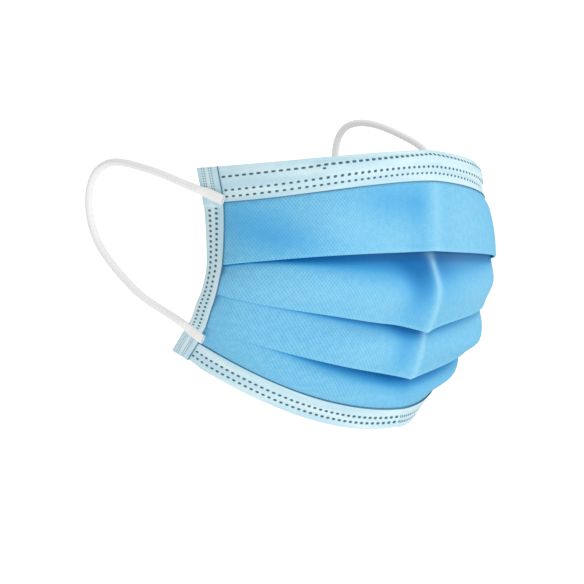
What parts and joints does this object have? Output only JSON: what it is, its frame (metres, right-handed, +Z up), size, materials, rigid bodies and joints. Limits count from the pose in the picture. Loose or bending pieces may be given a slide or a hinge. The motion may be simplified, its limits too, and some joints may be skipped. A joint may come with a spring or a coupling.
{
  "type": "surgical face mask",
  "caption": "Blue pleated three-ply surgical face mask in its open, worn form, with pale welded hems, side bindings, a nose wire and white elastic ear loops.",
  "frame": {"origin": "the seat on the bridge of the nose: the inner side of the mask at its middle, 6 mm below the top edge", "axes": "+X across the face to the wearer's left, +Y towards the wearer (out of the hollow), +Z up; the outer face looks along -Y"},
  "size_m": [0.1378, 0.1042, 0.1104],
  "materials": {
    "blue_cloth": "sky blue spunbond nonwoven with a fine embossed diamond pattern; the inner side is the white face ply",
    "pale_cloth": "very pale cyan, slightly see-through nonwoven tape with rows of dark ultrasonic weld marks",
    "elastic": "white knitted round elastic, matt",
    "nose_wire": "plastic-coated flat steel wire, hidden under the hem"
  },
  "bodies": {
    "root": {"mask_body": "blue_cloth", "top_hem": "pale_cloth", "bottom_hem": "pale_cloth", "nose_wire": "nose_wire", "side_binding_right": "pale_cloth", "side_binding_left": "pale_cloth", "ear_loop_right": "elastic", "ear_loop_left": "elastic"}
  },
  "joints": []
}
